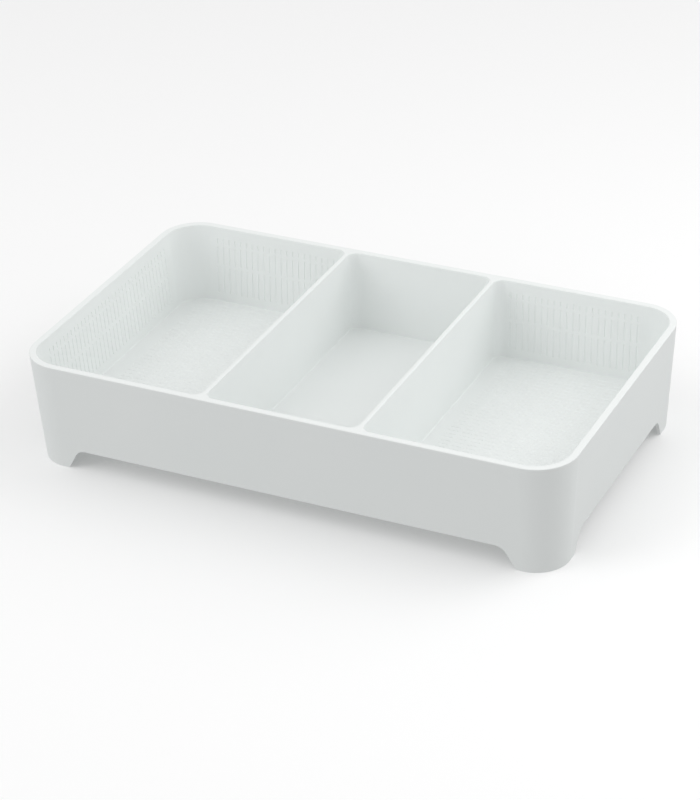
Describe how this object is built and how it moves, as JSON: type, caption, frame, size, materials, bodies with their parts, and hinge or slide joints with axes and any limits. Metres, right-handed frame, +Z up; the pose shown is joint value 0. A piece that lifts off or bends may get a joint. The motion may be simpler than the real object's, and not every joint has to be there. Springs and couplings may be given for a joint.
{
  "type": "drawer organizer",
  "caption": "Shallow drawer organizer: tapered tray with rounded corners, fixed upright dividers, slotted end compartments and short corner feet, for keeping small items apart.",
  "frame": {"origin": "centre of the footprint, in the plane that the feet stand on", "axes": "+X along the length to the right, +Y to the back, +Z up out of the open compartments"},
  "size_m": [0.25, 0.148, 0.0505],
  "materials": {
    "casing_plastic": "smooth satin, very fine moulded grain",
    "tray_plastic": "satin rim and walls, fine slots in the end compartments",
    "divider_plastic": "smooth satin"
  },
  "bodies": {
    "root": {"outer_casing": "casing_plastic", "inner_tray": "tray_plastic", "left_divider": "divider_plastic", "right_divider": "divider_plastic"}
  },
  "joints": []
}
